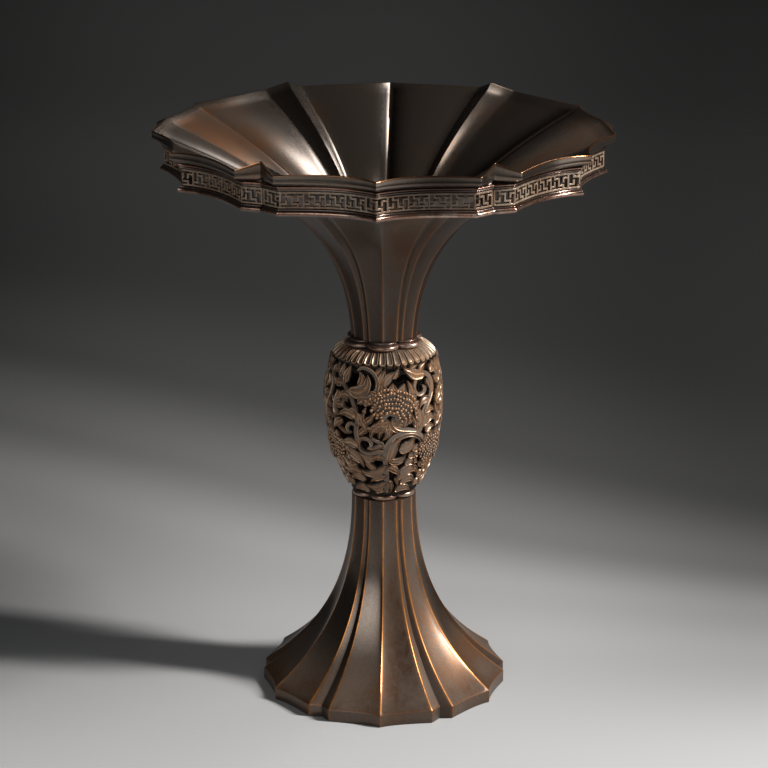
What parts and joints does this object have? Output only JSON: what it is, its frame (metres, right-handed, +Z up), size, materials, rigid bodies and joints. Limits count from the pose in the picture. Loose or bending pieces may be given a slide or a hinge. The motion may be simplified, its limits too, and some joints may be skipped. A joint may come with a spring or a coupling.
{
  "type": "flower vase",
  "caption": "Footed bronze flower vase: a wide lobed dish on a fluted neck lifts off a pierced knop and trumpet foot, with a lift-out water liner inside.",
  "frame": {"origin": "centre of the foot's resting face, on the vase's axis", "axes": "+Z up along the vase's axis, -Y towards the front lobe, +X to its right"},
  "size_m": [0.2318, 0.2346, 0.3045],
  "materials": {
    "fluted_bronze": "dark brown patina, satin, rubbed along the arrises",
    "moulding_bronze": "brown patina, satin",
    "fret_bronze": "brown patina, rubbed on the face",
    "carved_bronze": "brown patina, rubbed on the high carving",
    "liner_bronze": "dull dark oxide"
  },
  "bodies": {
    "stand": {"foot": "fluted_bronze", "lower_collar": "moulding_bronze", "knop_openwork": "carved_bronze", "petal_shoulder": "carved_bronze", "neck_collar": "moulding_bronze"},
    "liner": {"water_liner": "liner_bronze"},
    "dish": {"mouth_dish": "fluted_bronze", "rim_cornice": "moulding_bronze", "fret_panel_1": "fret_bronze", "fret_panel_2": "fret_bronze", "fret_panel_3": "fret_bronze", "fret_panel_4": "fret_bronze", "fret_panel_5": "fret_bronze", "fret_panel_6": "fret_bronze", "rim_base_bead": "moulding_bronze"}
  },
  "joints": [
    {"name": "liner_lift", "type": "slide", "parent": "stand", "child": "liner", "axis": [0, 0, 1], "range_m": [0, 0.08]},
    {"name": "dish_lift", "type": "slide", "parent": "liner", "child": "dish", "axis": [0, 0, 1], "range_m": [0, 0.02]}
  ]
}
